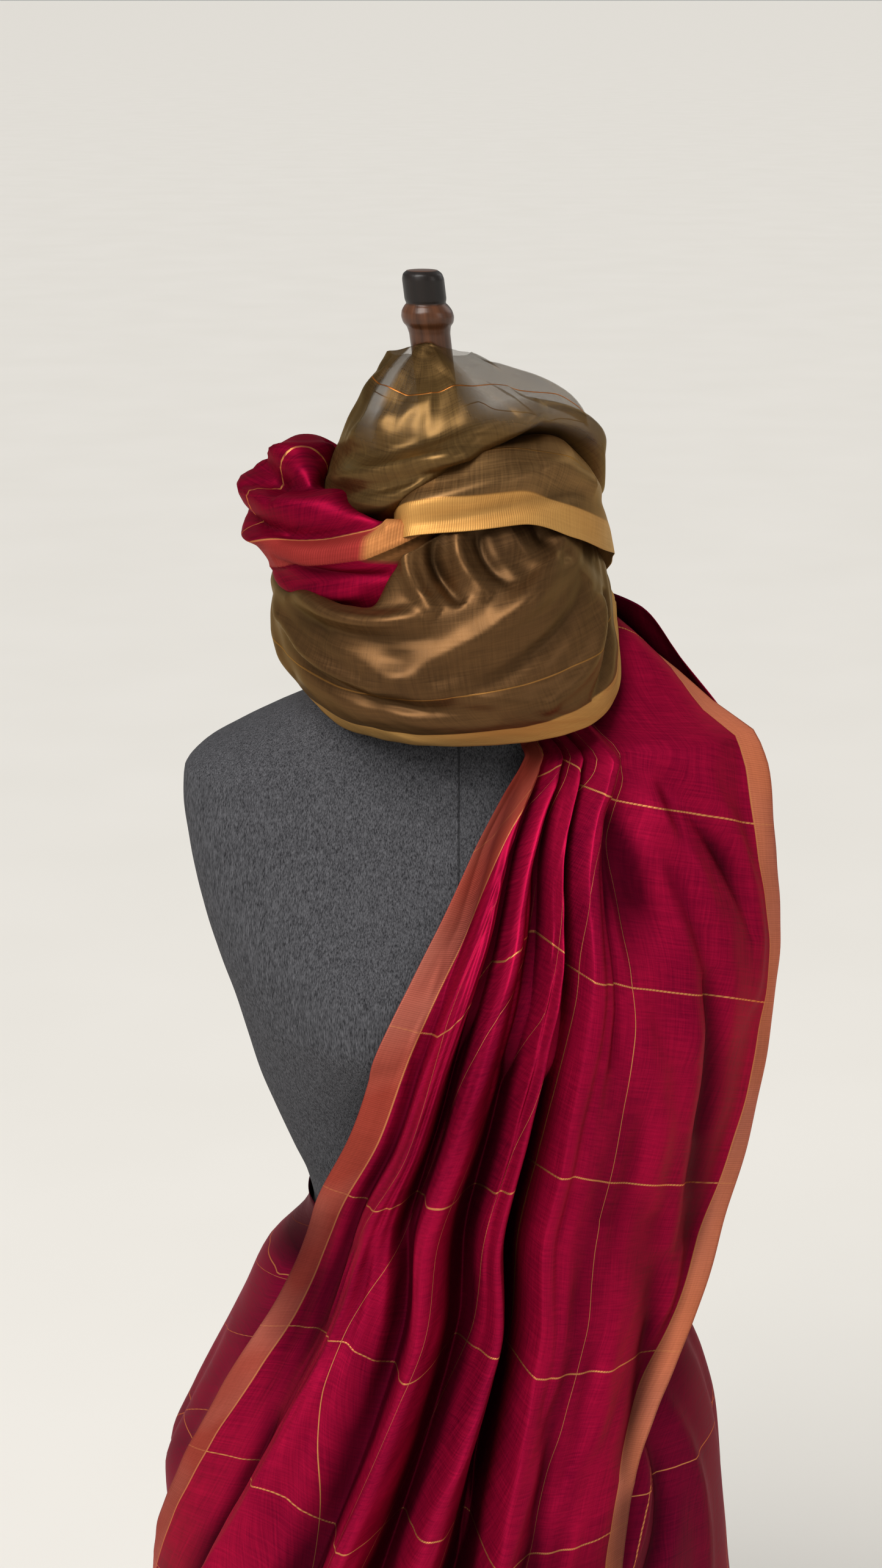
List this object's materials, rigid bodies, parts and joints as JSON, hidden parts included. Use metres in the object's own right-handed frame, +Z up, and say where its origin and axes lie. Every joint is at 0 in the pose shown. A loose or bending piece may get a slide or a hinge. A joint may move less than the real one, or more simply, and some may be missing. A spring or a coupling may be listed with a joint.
{
  "type": "chanderi saree on a limbless dress form",
  "caption": "Crimson chanderi saree with a gold tissue end cloth, pleated, draped over one shoulder and wound round the neck of a grey limbless dress form on its stand.",
  "frame": {"origin": "centre of the underside of the stand's base, on the floor", "axes": "+Z up, -Y towards the front of the form, +X towards the viewer's right as the form is seen from the front"},
  "size_m": [0.5464, 0.4843, 1.7109],
  "materials": {
    "crimson_silk": "satiny silk and cotton weave with a fine gold check and woven copper-gold borders",
    "gold_tissue": "sheer metallic tissue weave with a woven gold border",
    "grey_marl": "matt jersey in flecked dark grey",
    "turned_wood": "dark turned hardwood, waxed, with a near-black cap",
    "stand_metal": "satin black paint"
  },
  "bodies": {
    "root": {"form_torso": "grey_marl", "neck_post": "turned_wood", "stand_pole": "stand_metal", "stand_base": "stand_metal", "skirt_wrap": "crimson_silk", "body_drape": "crimson_silk", "shoulder_fall": "crimson_silk", "neck_wrap": "crimson_silk", "pallu_upper": "gold_tissue", "pallu_cowl": "gold_tissue", "pallu_crown": "gold_tissue"}
  },
  "joints": []
}
